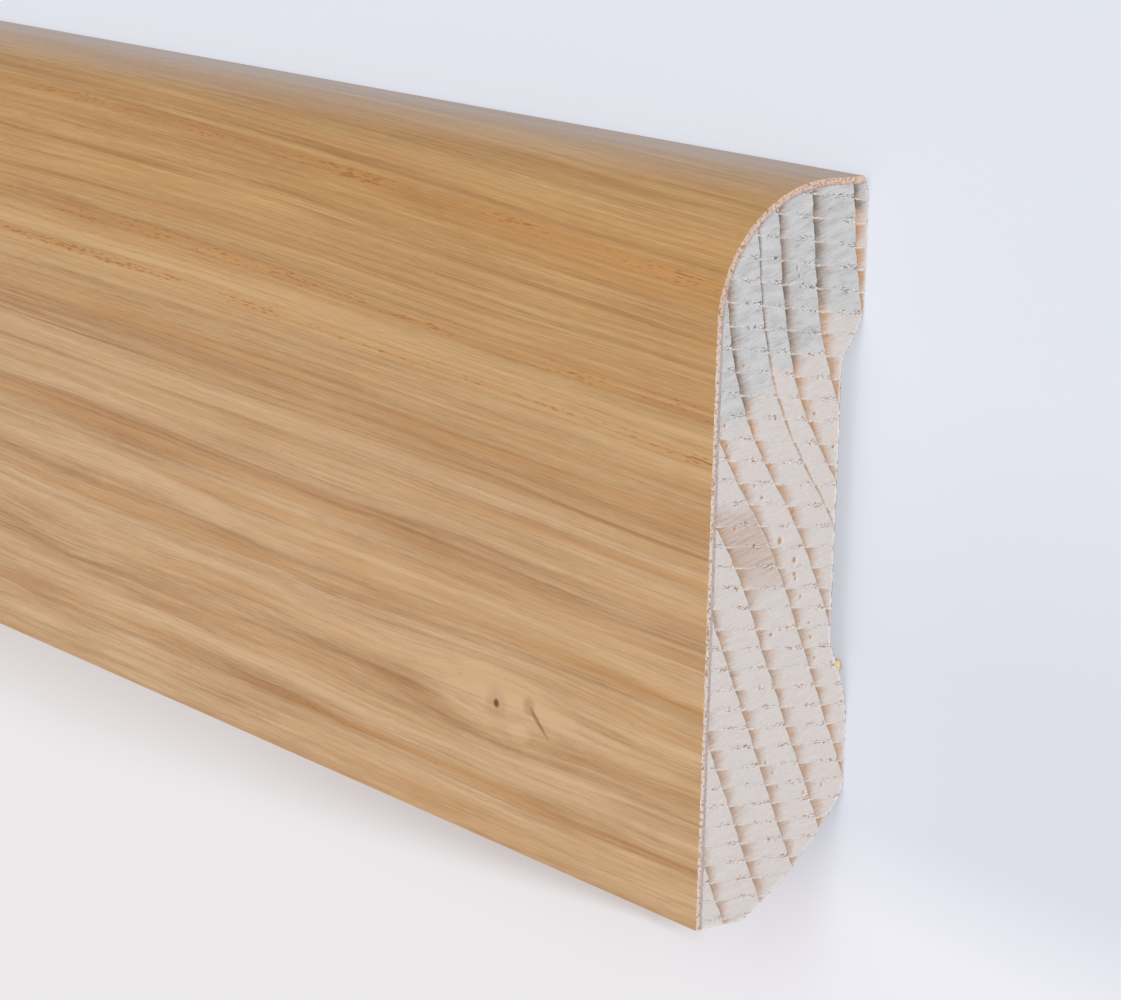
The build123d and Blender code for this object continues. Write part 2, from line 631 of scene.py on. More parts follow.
def fray_arris(bm, sawn):
    """Nibbles the arris of both ends on the planed faces that no veneer covers."""
    for vert, outward in open_arris(bm).items():
        out_mm, up_mm = vert.co.z / MM, vert.co.y / MM
        tooth = float(tooth_coordinate(out_mm, up_mm)) % 1
        bite = 0.35 + 0.5 * wander((out_mm, up_mm), 0.35, 7) + 0.6 * max(0, 1 - tooth / 0.25)
        vert.co -= outward * sawn.fray * min(max(bite, 0), 1)


def link_piece(name, bm, materials, node):
    """Makes a finished piece that rides with the strip and stands for its node."""
    mesh = bpy.data.meshes.new(name)
    bm.to_mesh(mesh)
    bm.free()
    for material in materials:
        mesh.materials.append(material)
    piece = bpy.data.objects.new(name, mesh)
    bpy.context.scene.collection.objects.link(piece)
    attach(piece, "root")
    if node:
        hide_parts(node)
    return piece


def outer_chain(bm, up_top, out_front, radius, out_back, cells):
    """One long side of the veneer's section: up the front, round the top and down to the back bevel."""
    before = set(bm.verts)
    places = ((STRIP_LOW.y, out_front), (up_top, out_front), (up_top, out_back))
    foot, corner, back = [bm.verts.new((0, up, out)) for up, out in places]
    bm.edges.new((foot, corner))
    bm.edges.new((corner, back))
    round_corner(bm, corner, radius, cells[1])
    chain = [vert for vert in bm.verts if vert not in before]
    for edge in list({edge for vert in chain for edge in vert.link_edges}):
        if edge.calc_length() < 2 * radius * math.pi / 2 / cells[1]:
            continue
        count = cells[0] if abs(edge.verts[0].co.y - edge.verts[1].co.y) > radius else cells[2]
        bmesh.ops.subdivide_edges(bm, edges=[edge], cuts=count - 1)


def developed_height(section, up, out):
    """Height above the foot on the flattened sheet."""
    round_start = STRIP_HIGH.y - section.top_round
    round_end = STRIP_HIGH.z - section.top_round
    if up < round_start:
        return up - STRIP_LOW.y
    if out > round_end:
        return round_start - STRIP_LOW.y + section.top_round * math.atan2(up - round_start, out - round_end)
    return round_start - STRIP_LOW.y + section.top_round * math.pi / 2 + round_end - out


def depth_in_sheet(section, up, out):
    """Distance under the sheet's face."""
    round_start = STRIP_HIGH.y - section.top_round
    round_end = STRIP_HIGH.z - section.top_round
    if up < round_start:
        return STRIP_HIGH.z - out
    if out > round_end:
        return section.top_round - math.hypot(up - round_start, out - round_end)
    return STRIP_HIGH.y - up


def veneer_mesh(section):
    """The sheet, bent over the core, with its cut ends in fine cells."""
    bm = bmesh.new()
    inner_top = STRIP_HIGH.y - section.veneer
    inner_front = STRIP_HIGH.z - section.veneer
    bevel_end = STRIP_HIGH.y - section.bevel_drop
    inner_back = section.bevel_depth * (inner_top - bevel_end) / section.bevel_drop
    inner_round = section.top_round - section.veneer
    outer_chain(bm, STRIP_HIGH.y, STRIP_HIGH.z, section.top_round, section.bevel_depth, VENEER_CELLS)
    outer_chain(bm, inner_top, inner_front, inner_round, inner_back, VENEER_CELLS)
    bridged = bmesh.ops.bridge_loops(bm, edges=bm.edges[:])
    bmesh.ops.subdivide_edges(bm, edges=bridged["edges"], cuts=6, use_grid_fill=True)
    run_to_length(bm)
    for end in (STRIP_LOW.x, STRIP_HIGH.x):
        side = math.copysign(1, end)
        cut_across(bm, bm.faces[:], X, sorted(end - side * depth * MM for depth in (0.12, 0.35, 1.0)))
    mark_arrises(bm)

    sheet_map = bm.loops.layers.uv.new("sheet")
    deep_layer = bm.verts.layers.float.new("deep")
    for face in bm.faces:
        cut = abs(face.normal.x) > 0.5 or face.normal.y < -0.5 or face.normal.z < -0.5
        glued = depth_in_sheet(section, *face.calc_center_median().yz) > section.veneer * 0.98
        face.material_index = int(cut and not glued)
        for loop in face.loops:
            place = loop.vert.co
            loop[sheet_map].uv = (place.x, developed_height(section, place.y, place.z))
    for vert in bm.verts:
        deep = depth_in_sheet(section, vert.co.y, vert.co.z)
        vert[deep_layer] = deep / section.veneer
        for end in (STRIP_LOW.x, STRIP_HIGH.x):
            if abs(vert.co.x - end) > SAME_PLACE:
                continue
            along = developed_height(section, vert.co.y, vert.co.z) / MM
            place = (along, deep / MM)
            ragged = 0.45 + 0.8 * wander(place, 0.28, 8) + 0.4 * wander(place, 1.1, 9)
            vert.co.x = end - math.copysign(0.07 * MM * min(max(ragged, 0), 1.3), end)
            if vert[deep_layer] < 0.02 and along < FLAT_FACE_MM:
                vert.co.z -= max(0.03 * MM * wander((along, 0), 0.5, 10), 0)
    return bm


def resin_bead_mesh(section):
    """A drop of resin that ran out on the slope over the lower pad, just behind the sawn end."""
    bm = bmesh.new()
    bmesh.ops.create_uvsphere(bm, u_segments=16, v_segments=12, radius=0.5)
    for vert in bm.verts:
        lump = 1 + 0.18 * noise.noise(vert.co * 4)
        vert.co = Vector([side * part for side, part in zip(BEAD_SIZE, vert.co)]) * lump
    up = STRIP_LOW.y + BEAD_ABOVE_FOOT
    on_slope = section.relief * (BEAD_ABOVE_FOOT - section.lower_pad) / section.lower_run
    place = (STRIP_HIGH.x - BEAD_BEHIND_END, up, on_slope - BEAD_SUNK)
    bmesh.ops.translate(bm, verts=bm.verts[:], vec=place)
    for face in bm.faces:
        face.smooth = True
    return bm


def end_places(node):
    """Where a place on the sawn end lies: in its growth ring, its saw tooth's path and the noise patterns."""
    at = SimpleNamespace()
    at.place = place_in_mm(node)
    split = node("SeparateXYZ", at.place).node
    at.up, at.out = split.outputs["Y"], split.outputs["Z"]
    for name in ("ring", "tooth", "resin", "rim"):
        setattr(at, name, node("Attribute", attribute_name=name).node.outputs["Fac"])

    at.ring_number = node("Math", at.ring, operation="FLOOR")
    at.left = node("Math", at.ring, operation="FRACT")
    at.across = node("Math", 1.0, at.left, operation="SUBTRACT")
    jog = node("MapRange", at.across, 0.0, 1.0, -0.06, 0.06)
    stepped = node("Math", at.tooth, jog, operation="SUBTRACT")
    at.under_lip = node("Math", stepped, operation="FRACT")
    at.to_lip = node("Math", stepped, 0.5, operation="PINGPONG")
    path_number = node("Math", stepped, operation="FLOOR")
    cell = node("CombineXYZ", at.ring_number, path_number, 0.0)
    at.chance = node("TexWhiteNoise", cell, noise_dimensions="2D")

    # The blade's scores rise towards the back by 14.5 degrees and are 0.1 to 0.3 mm apart
    lie = (math.radians(14.5), 0.0, 0.0)
    at.hairs = drawn_noise(node, at.place, (1.0, 0.10, 1.2), turn=lie)
    at.scores = drawn_noise(node, at.place, (1.0, 0.26, 3.2), turn=lie)
    at.smudge = drawn_noise(node, at.place, (1.0, 0.8, 2.4), 3.0, turn=lie)
    at.grit = node("TexNoise", at.place, 6.0, 3.0, 0.65)
    at.blot = node("TexNoise", at.place, 1.1, 2.0, 0.6)
    at.cloud = node("TexNoise", at.place, 0.35, 2.0, 0.5)
    return at


def greyed_share(node, at):
    """How far mineral dust greys the cut: down to a height in each ring, and in spots near the veneer."""
    rings = len(GREY_FLOORS_MM)
    tallest = 40.0
    column = node("Math", at.ring_number, 0.5, operation="ADD")
    column = node("Math", column, 1 / rings, operation="MULTIPLY")
    stops = []
    for number, height in enumerate(GREY_FLOORS_MM):
        share = height / tallest
        stops.append(((number + 0.5) / rings, (share, share, share, 1.0)))
    grey_floor = node("ValToRGB", column, stops=stops)
    over_floor = node("Math", grey_floor, -tallest, at.up, operation="MULTIPLY_ADD")
    wavy = node("Math", at.cloud, 5.0, over_floor, operation="MULTIPLY_ADD")
    grey = node("MapRange", wavy, 1.5, 3.5, 0.0, 1.0, **SMOOTH)

    spots = node("MapRange", at.blot, 0.50, 0.62, 0.0, 0.30, **SMOOTH)
    spots = weighed(node, spots, (at.out, 10.0, 13.0, 0.0, 1.0), (at.up, -18.0, -14.0, 0.0, 1.0))
    return grey, node("Math", grey, spots, operation="MAXIMUM")


def grain_colour(node, at, colours):
    """Earlywood, its stained patch, and latewood, with painted shade darkening it towards each ring line and
    under each lip.
    """
    grey, dust = greyed_share(node, at)
    cool = weighed(node, grey, (at.blot, 0.45, 0.65, 1.0, 0.70))
    earlywood = node("Mix", cool, colours.sawn_warm, colours.sawn_cool, **RGBA)
    smudge = node("MapRange", at.smudge, 0.36, 0.62, 0.90, 1.05)
    earlywood = node("VectorMath", earlywood, node("Mix", grey, 1.0, smudge), operation="SCALE")

    stained = node("Math", at.ring_number, STAINED_RING, 0.1, operation="COMPARE")
    wavy_up = node("Math", at.cloud, 3.0, at.up, operation="MULTIPLY_ADD")
    under_top = node("MapRange", wavy_up, 6.9, 4.6, 0.0, 1.0, **SMOOTH)
    over_foot = node("MapRange", wavy_up, -2.2, 1.2, 0.0, 1.0, **SMOOTH)
    patch = node("Math", under_top, over_foot, operation="MULTIPLY")
    patch = node("Math", patch, stained, operation="MULTIPLY")
    patch = weighed(node, patch, (at.scores, 0.35, 0.65, 0.70, 0.34))
    earlywood = node("Mix", patch, earlywood, colours.stain, **RGBA)

    high = node("MapRange", at.up, -4.0, 13.0, 0.0, 1.0, **SMOOTH)
    at_back = node("MapRange", at.out, 3.4, 1.4, 0.0, 0.9)
    high = node("Math", high, at_back, operation="MAXIMUM")
    late = node("Mix", high, colours.late_low, colours.late_high, **RGBA)
    greyer = weighed(node, dust, (at.smudge, 0.40, 0.60, 0.50, 1.0))
    late = node("Mix", greyer, late, colours.late_cool, **RGBA)
    # Deepest latewood tone, darker where the cut is greyed: painted shade where the relief sinks beside each
    # ring line
    deep = shaded(node, late, (dust, 0.0, 1.0, 0.78, 0.42))

    narrow = node("Math", at.ring_number, NARROW_RING, 0.1, operation="COMPARE")
    # Latewood wedge beside each ring line: latewood colour plus painted shade, wider and darker where the
    # relief sinks under each lip
    reach = node("MapRange", at.chance, 0.0, 1.0, 0.34, 0.50)
    low_reach = node("MapRange", dust, 0.0, 1.0, 0.45, 0.80)
    reach = weighed(node, reach, (narrow, 0.0, 1.0, 1.0, 0.50), (at.under_lip, 0.0, 1.0, low_reach, 1.10))
    ragged = node("MapRange", at.hairs, 0.25, 0.75, -0.06, 0.06)
    ragged = node("Math", ragged, at.across, operation="ADD")
    fading = node("MapRange", ragged, reach, 0.03, 0.0, 1.0, **SMOOTH)
    low_strength = node("MapRange", dust, 0.0, 1.0, 0.48, 0.78)
    strength = node("MapRange", at.under_lip, 0.0, 0.9, low_strength, 1.0)
    strength = weighed(node, strength, (at.blot, 0.35, 0.65, 0.70, 1.15))
    dark = node("Math", fading, strength, operation="MULTIPLY")
    colour = node("Mix", dark, earlywood, late, **RGBA)

    # Painted shade: the deepest tone right beside each ring line, where the relief is most sunk
    half_reach = node("Math", reach, 0.5, operation="MULTIPLY")
    near = node("MapRange", ragged, half_reach, 0.0, 0.0, 0.8, **SMOOTH)
    near = node("Math", near, strength, operation="MULTIPLY")
    colour = node("Mix", near, colour, deep, **RGBA)
    return colour, grey


def raised_fibre(node, at, colours, colour, grey):
    """Lips and ring arrises, pale with fibre and painted highlight, and torn fibre along each lip, most of it
    just before a ring line.
    """
    # Painted highlight along each lip over pale fibre ends, strongest near the ring line and thinning away
    # from it
    taper = node("MapRange", at.across, 0.0, 0.5, 0.080, 0.026)
    lip = node("MapRange", at.to_lip, taper, 0.012, 0.0, 1.0, **SMOOTH)
    lip = weighed(
        node,
        lip,
        (at.across, 0.06, 0.60, 1.0, 0.35),
        (at.grit, 0.40, 0.58, 0.2, 1.1),
        (at.chance, 0.0, 1.0, 0.7, 1.0),
    )
    # Painted highlight over pale fibre edges on the proud side just past each ring line
    arris = node("MapRange", at.left, 0.010, 0.045, 0.75, 0.0, **SMOOTH)
    arris = weighed(node, arris, (at.grit, 0.36, 0.55, 0.3, 1.0))
    highlight_and_fuzz = node("Math", lip, arris, operation="MAXIMUM")
    colour = node("Mix", highlight_and_fuzz, colour, colours.fuzz_and_highlight, **RGBA)

    # Torn fibre near each lip: painted shade in its hollows over darker fibre, and painted highlight on its
    # raised ends over pale fibre
    torn = node("MapRange", at.to_lip, 0.24, 0.05, 0.0, 1.0, **SMOOTH)
    near_line = node("MapRange", at.across, 0.25, 0.75, 0.25, 1.0, **SMOOTH)
    torn = node("Math", torn, near_line, operation="MULTIPLY")
    torn = weighed(node, torn, (at.blot, 0.38, 0.58, 0.35, 1.0))
    fibre = drawn_noise(node, at.place, (1.0, 0.12, 0.34), roughness=0.7, turn=(0.1, 0.0, 0.0))
    needed = node("MapRange", torn, 0.0, 0.9, 0.71, 0.475)
    hollow_shade = node("Math", fibre, needed, operation="SUBTRACT")
    hollow_shade = node("MapRange", hollow_shade, 0.0, 0.09, 0.0, 0.85)
    speck_and_shade = node("Mix", grey, colours.speck_and_shade_warm, colours.speck_and_shade_cool, **RGBA)
    colour = node("Mix", hollow_shade, colour, speck_and_shade, **RGBA)
    raised_fuzz_and_highlight = node("Math", 1.0, fibre, operation="SUBTRACT")
    raised_fuzz_and_highlight = node("Math", raised_fuzz_and_highlight, needed, operation="SUBTRACT")
    raised_fuzz_and_highlight = node("MapRange", raised_fuzz_and_highlight, 0.0, 0.08, 0.0, 0.6)
    return node("Mix", raised_fuzz_and_highlight, colour, colours.fuzz_and_highlight, **RGBA)


def sawn_end_grain(colours):
    """Spruce sawn across the grain: matt and chalky, with shingled latewood, painted shade under the lips and
    painted highlights on them.
    """
    material, node = new_material("Sawn spruce end grain")
    at = end_places(node)
    colour, grey = grain_colour(node, at, colours)

    # Score lines lighten and darken the cut, and hold dust where it is greyed
    colour = shaded(
        node,
        colour,
        (at.hairs, 0.28, 0.72, 0.935, 1.05),
        (at.scores, 0.28, 0.72, 0.965, 1.03),
        (at.grit, 0.28, 0.72, 0.94, 1.045),
    )
    dusty = node("MapRange", at.hairs, 0.42, 0.30, 0.0, 0.65)
    dusty = node("Math", dusty, grey, operation="MULTIPLY")
    dusty = weighed(node, dusty, (at.smudge, 0.55, 0.40, 0.10, 1.0))
    colour = node("Mix", dusty, colour, colours.score, **RGBA)

    # Painted highlights on lips, ring arrises and raised torn fibre, and painted shade in the torn fibre's
    # hollows
    colour = raised_fibre(node, at, colours, colour, grey)
    spot = node("Math", at.grit, 1.0, at.resin, operation="MULTIPLY_ADD")
    spot = node("MapRange", spot, 0.62, 1.15, 0.0, 0.82, **SMOOTH)
    dull_resin = node("VectorMath", colours.resin[:3], (0.50, 0.62, 0.85), operation="MULTIPLY")
    resin = node("Mix", grey, colours.resin, dull_resin, **RGBA)
    colour = node("Mix", spot, colour, resin, **RGBA)
    fringe = node("Math", at.grit, 1.3, at.rim, operation="MULTIPLY_ADD")
    fringe = node("MapRange", fringe, 1.0, 1.6, 0.0, 0.65)
    colour = node("Mix", fringe, colour, colours.fuzz_and_highlight, **RGBA)

    height = node("Math", at.hairs, 0.6, at.grit, operation="MULTIPLY_ADD")
    normal = node("Bump", 0.35, 0.06 * MM, 0.1, height)
    finish_surface(node, colour, 0.85, normal, Specular_IOR_Level=0.2)
    return material


def planed_softwood(colours):
    """Planed spruce along the grain: pale straw, dull, with darker latewood lines and fine fibre."""
    material, node = new_material("Planed spruce")
    place_mm = place_in_mm(node)
    ring = node("Attribute", attribute_name="ring").node.outputs["Fac"]
    drift = drawn_noise(node, place_mm, (250.0, 20.0, 20.0), roughness=0.5)
    ring = node("Math", drift, 1.2, ring, operation="MULTIPLY_ADD")
    fibre = drawn_noise(node, place_mm, (25.0, 0.25, 0.25), 3.0)
    streak = drawn_noise(node, place_mm, (83.33, 1.111, 1.111), 3.0)
    ring = node("Math", streak, 0.35, ring, operation="MULTIPLY_ADD")
    across = node("Math", 1.0, node("Math", ring, operation="FRACT"), operation="SUBTRACT")
    late = node("MapRange", across, 0.36, 0.04, 0.0, 0.75, **SMOOTH)
    ring_edge = node("MapRange", across, 0.0, 0.05, 0.0, 1.0, **SMOOTH)
    late = node("Math", late, ring_edge, operation="MULTIPLY")
    colour = node("Mix", late, colours.planed, colours.planed_late, **RGBA)
    colour = shaded(node, colour, (fibre, 0.3, 0.7, 0.92, 1.06))
    normal = node("Bump", 0.25, 0.05 * MM, 0.1, fibre)
    finish_surface(node, colour, 0.62, normal, Specular_IOR_Level=0.35)
    return material


def from_spot(node, at, beside, over, along_share=1.0):
    """Squared distance in mm from a spot near the pin knot, with the part along the grain scaled down."""
    squares = []
    for place, spot in ((at.beside, beside), (at.over, over)):
        away = node("Math", place, spot, operation="SUBTRACT")
        squares.append(node("Math", away, away, operation="MULTIPLY"))
    return node("Math", squares[0], along_share, squares[1], operation="MULTIPLY_ADD")


def sheet_places(node):
    """Where a place on the veneer lies: along it, up it, from the pin knot and across the grain's bands."""
    at = SimpleNamespace()
    sheet = node("UVMap", uv_map="sheet")
    split = node("SeparateXYZ", node("VectorMath", sheet, 1000.0, operation="SCALE")).node
    at.along = node("Math", STRIP_HIGH.x / MM, split.outputs["X"], operation="SUBTRACT")
    at.height = split.outputs["Y"]

    # The grain parts round the pin knot
    at.beside = node("Math", at.along, KNOT_ALONG_MM, operation="SUBTRACT")
    at.over = node("Math", at.height, KNOT_HEIGHT_MM, operation="SUBTRACT")
    at.spread = from_spot(node, at, 0.0, 0.0, 0.07)
    push = node("Math", 4.4, node("Math", at.spread, 5.2, operation="ADD"), operation="DIVIDE")
    push = node("Math", at.over, push, operation="MULTIPLY")
    parted = node("Math", at.height, push, operation="SUBTRACT")

    # The bands fan out away from the sawn end, sway slowly, and ripple most over the foot
    fan = node("Math", node("Math", at.along, 1 / 140, operation="MULTIPLY"), operation="SINE")
    fan = node("Math", fan, 0.14, 1.0, operation="MULTIPLY_ADD")
    level = node("Math", parted, fan, operation="DIVIDE")
    place = node("CombineXYZ", at.along, at.height, 0.0)
    sway = drawn_noise(node, place, (90.0, 16.0, 1.0), roughness=0.5)
    sway = node("MapRange", sway, 0.25, 0.75, -0.9, 0.9)
    far = node("MapRange", at.along, 0.0, 200.0, 0.15, 1.0)
    level = node("Math", sway, far, level, operation="MULTIPLY_ADD")
    ripple = drawn_noise(node, place, (30.0, 4.0, 1.0), roughness=0.5)
    ripple = node("MapRange", ripple, 0.25, 0.75, -1.0, 1.0)
    rough = node("MapRange", at.height, 12.0, 30.0, 0.34, 0.12)
    level = node("Math", ripple, rough, level, operation="MULTIPLY_ADD")
    at.share = node("Math", level, 1 / TOP_BAND_MM, operation="MULTIPLY")
    at.grain = node("CombineXYZ", at.along, level, 0.0)
    at.fibres = []
    for length, thickness, _ in OAK_FIBRES_MM:
        at.fibres.append(drawn_noise(node, at.grain, (length, thickness, 1.0)))
    return at


def oak_bands(node, at, colours):
    """Growth bands and the fibre in them, paler round the knot and in a patch under the curl."""
    stops = [(height / TOP_BAND_MM, (tone, tone, tone, 1.0)) for height, tone in OAK_BANDS_MM]
    tone = node("ValToRGB", at.share, stops=stops)
    for fibre, (_, _, weight) in zip(at.fibres, OAK_FIBRES_MM):
        tone = node("Math", tone, node("MapRange", fibre, 0.25, 0.75, -weight, weight), operation="ADD")
    streaks = drawn_noise(node, at.grain, (26.0, 1.5, 1.0), 3.0)
    streaks = node("MapRange", streaks, 0.28, 0.72, -0.34, 0.36)
    below = node("MapRange", at.height, 14.0, 34.0, 1.0, 0.35)
    tone = node("Math", streaks, below, tone, operation="MULTIPLY_ADD")
    pale_heart = node("MapRange", at.spread, 14.0, 1.0, 0.0, 0.36, **SMOOTH)
    pale_patch = from_spot(node, at, -3.3, -1.9, 0.36)
    pale_patch = node("MapRange", pale_patch, 1.3, 0.0, 0.0, 0.30, **SMOOTH)
    for pale in (pale_heart, pale_patch):
        tone = node("Math", tone, pale, operation="ADD")

    upper = node("MapRange", at.height, 26.0, 54.0, 0.0, 1.0, **SMOOTH)
    dark = node("Mix", upper, colours.dark_low, colours.dark_high, **RGBA)
    pale = node("Mix", upper, colours.pale_low, colours.pale_high, **RGBA)
    colour = node("Mix", tone, dark, pale, **RGBA)
    warm = drawn_noise(node, at.grain, (60.0, 1.3, 1.0), 3.0, start=(0.0, 0.0, 7.3))
    warm = node("MapRange", warm, 0.48, 0.70, 0.0, 0.36)
    return node("Mix", warm, colour, colours.streak, **RGBA)


def oak_pores(node, at, colours, colour):
    """Dark lines at their own heights, and pores as short dashes, most of them in rows."""
    stops = []
    for mark, line, pores in OAK_MARKS_MM:
        half_width = 0.4 + 0.5 * pores
        for away, strength in ((-half_width, 0.0), (0.0, 1.0), (half_width, 0.0)):
            stops.append(((mark + away) / TOP_BAND_MM, (line * strength, pores * strength, 0.0, 1.0)))
    marks = node("SeparateColor", node("ValToRGB", at.share, stops=stops)).node.outputs
    line = weighed(node, marks["Red"], (at.fibres[1], 0.40, 0.60, 0.62, 0.14))
    colour = node("Mix", line, colour, colours.pore, **RGBA)

    patch = drawn_noise(node, at.grain, (16.0, 4.0, 1.0), 3.0)
    in_row = node("MapRange", marks["Green"], 0.05, 0.70, 0.0, 0.46)
    in_row = weighed(node, in_row, (patch, 0.38, 0.60, 0.15, 1.0))
    colour = node("Mix", in_row, colour, colours.streak, **RGBA)
    row = node("MapRange", at.fibres[1], 0.50, 0.34, 0.02, 0.20)
    row = node("Math", in_row, row, operation="ADD")
    dashes = node("Mapping", at.grain, None, None, (1.6, 0.17, 1.0), vector_type="TEXTURE")
    pore = node("TexVoronoi", dashes, 1.0, 0.0, 0.5, 2.0, 1.0)
    pore = node("MapRange", node("Math", pore, row, operation="SUBTRACT"), -0.16, 0.0, 0.62, 0.0)
    return node("Mix", pore, colour, colours.pore, **RGBA), pore


def knot_and_curl(node, at, colours, colour):
    """The knot's heart, and the dark curl of fibre beside it."""
    along_curl = node("Math", at.beside, 5.75, operation="ADD")
    off_curl = node("Math", along_curl, -0.79, at.over, operation="MULTIPLY_ADD")
    off_curl = node("Math", off_curl, off_curl, operation="MULTIPLY")
    taper = node("MapRange", along_curl, -1.4, 1.4, 0.05, 0.30)
    curl = node("MapRange", off_curl, 0.0, taper, 0.66, 0.0, **SMOOTH)
    for first, last in ((-2.3, -0.9), (1.8, 0.4)):
        end = node("MapRange", along_curl, first, last, 0.0, 1.0, **SMOOTH)
        curl = node("Math", curl, end, operation="MULTIPLY")
    head = node("MapRange", from_spot(node, at, -4.7, 0.8), 0.0, 1.1, 0.34, 0.0, **SMOOTH)
    curl = node("Math", curl, head, operation="MAXIMUM")

    from_heart = from_spot(node, at, 0.0, 0.0)
    heart = node("MapRange", from_heart, 0.0, 0.28, 0.90, 0.0, **SMOOTH)
    halo = node("MapRange", from_heart, 0.0, 3.8, 0.18, 0.0, **SMOOTH)
    for share, tint in ((curl, colours.curl), (halo, colours.curl), (heart, colours.knot)):
        colour = node("Mix", share, colour, tint, **RGBA)
    return colour


def lacquered_oak(colours):
    """Oak veneer under satin lacquer: long bands and fine fibre, short pores, and a cool sheen seen low."""
    material, node = new_material("Lacquered oak veneer")
    at = sheet_places(node)
    colour = oak_bands(node, at, colours)
    colour, pore = oak_pores(node, at, colours, colour)
    colour = knot_and_curl(node, at, colours, colour)
    roughness = node("MapRange", at.fibres[2], 0.3, 0.7, 0.14, 0.22)
    relief = node("Math", at.fibres[2], 0.3, operation="MULTIPLY")
    relief = node("Math", pore, -1.0, relief, operation="MULTIPLY_ADD")
    normal = node("Bump", 0.25, 0.03 * MM, 0.1, relief)
    finish_surface(node, colour, roughness, normal, IOR=1.5)
    return material


def cut_veneer(colours):
    """The sheet's own cut edge: pinkish cream and fuzzy, with orange pores and a mauve glue line inside."""
    material, node = new_material("Cut oak veneer edge")
    deep = node("Attribute", attribute_name="deep").node.outputs["Fac"]
    place_mm = place_in_mm(node)
    up = node("SeparateXYZ", place_mm).node.outputs["Y"]
    blot = node("TexNoise", place_mm, 3.4, 2.0, 0.6)
    tuft = node("TexNoise", place_mm, 7.0, 3.0, 0.7)
    pore = node("MapRange", blot, 0.51, 0.62, 0.0, 0.85, **SMOOTH)
    round_top = node("MapRange", up, 14.0, 22.0, 0.0, 1.0, **SMOOTH)
    cream = node("Mix", round_top, colours.cut, colours.cut_top, **RGBA)
    colour = node("Mix", pore, cream, colours.cut_pore, **RGBA)

    # The glue line takes the inner third over the front face and thins out round the top
    ragged = node("Math", tuft, 0.5, deep, operation="MULTIPLY_ADD")
    first = node("MapRange", up, 14.0, 22.0, 0.70, 0.98)
    last = node("Math", first, 0.20, operation="ADD")
    glue = node("MapRange", ragged, first, last, 0.0, 0.8, **SMOOTH)
    colour = node("Mix", glue, colour, colours.glue, **RGBA)
    colour = shaded(node, colour, (tuft, 0.3, 0.7, 0.82, 1.12))
    normal = node("Bump", 0.4, 0.06 * MM, 0.1, tuft)
    finish_surface(node, colour, 0.8, normal, Specular_IOR_Level=0.25)
    return material


def set_resin():
    """Dried spruce resin: amber and glossy, and clear enough to glow at its edge."""
    material, node = new_material("Dried resin")
    cloud = node("TexNoise", place_in_mm(node), 2.5, 2.0, 0.5)
    colour = node("Mix", cloud, to_linear("#EDC892"), to_linear("#F8E4BF"), **RGBA)
    finish_surface(node, colour, 0.3, None, IOR=1.52, Subsurface_Weight=0.3, Subsurface_Scale=0.4 * MM)
    return material


def pale_floor(stage):
    """Matt white board: it looks pale under a soft shadow, and throws little light back on the strip."""
    material, node = new_material("Matt white board")
    split = node("SeparateXYZ", place_in_mm(node)).node
    up_mm = split.outputs["Y"]
    past_end = node("Math", split.outputs["X"], STRIP_HIGH.x / MM, operation="SUBTRACT")
    low_to_high = node("MapRange", up_mm, -60.0, 40.0, 0.0, 1.0)
    stops = (
        (0.29, tuple(stage.floor_front)),
        (0.38, tuple(stage.floor_middle)),
        (0.52, tuple(stage.floor_middle)),
        (0.75, tuple(stage.floor_back)),
    )
    seen = node("ValToRGB", low_to_high, stops=stops)
    left = weighed(
        node, node("MapRange", past_end, -30.0, 5.0, 1.0, 0.0), (up_mm, -25.0, -32.0, 0.0, 1.0)
    )
    seen = node("Mix", left, seen, stage.floor_left, **RGBA)

    # The front edge's soft shadow starts where the camera first sees the floor past it, and spreads leftwards
    shadow_end = node("MapRange", past_end, -26.0, -131.0, -39.4, -51.5)
    shadow = node("MapRange", up_mm, -38.1, shadow_end, 1.0, 0.0, **SMOOTH)
    shadow = weighed(
        node,
        shadow,
        (past_end, -50.0, -95.0, 1.0, 0.6),
        (past_end, -17.0, -24.0, 0.0, 1.0),
        (up_mm, -20.0, -28.0, 0.0, 1.0),
    )
    seen = node("Mix", shadow, seen, stage.floor_under, **RGBA)
    from_end = node("VectorMath", node("CombineXYZ", past_end, up_mm, 0.0), operation="LENGTH")
    away = node("MapRange", from_end, 250.0, 450.0, 0.0, 1.0, **SMOOTH)
    seen = node("Mix", away, seen, stage.floor_plain, **RGBA)

    # A mirrored ray sees the floor dimmer, as the room behind the photo's camera is
    rays = node("LightPath").node.outputs
    shown = node("Math", rays["Is Camera Ray"], rays["Is Glossy Ray"], operation="MAXIMUM")
    shown = node("Math", shown, rays["Is Transmission Ray"], operation="MAXIMUM")
    near = node("MapRange", up_mm, 49.0, 57.0, 0.72, 0.33, **SMOOTH)
    near = node("Math", near, rays["Is Camera Ray"], operation="MAXIMUM")
    seen = node("VectorMath", seen, near, operation="SCALE")
    colour = node("Mix", shown, to_linear("#949494"), seen, **RGBA)
    board = node("BsdfDiffuse", colour)
    glow = node("Emission", seen, 1.0)
    share = node("Math", shown, 0.65, operation="MULTIPLY")
    node("OutputMaterial", node("MixShader", share, board, glow))
    return material


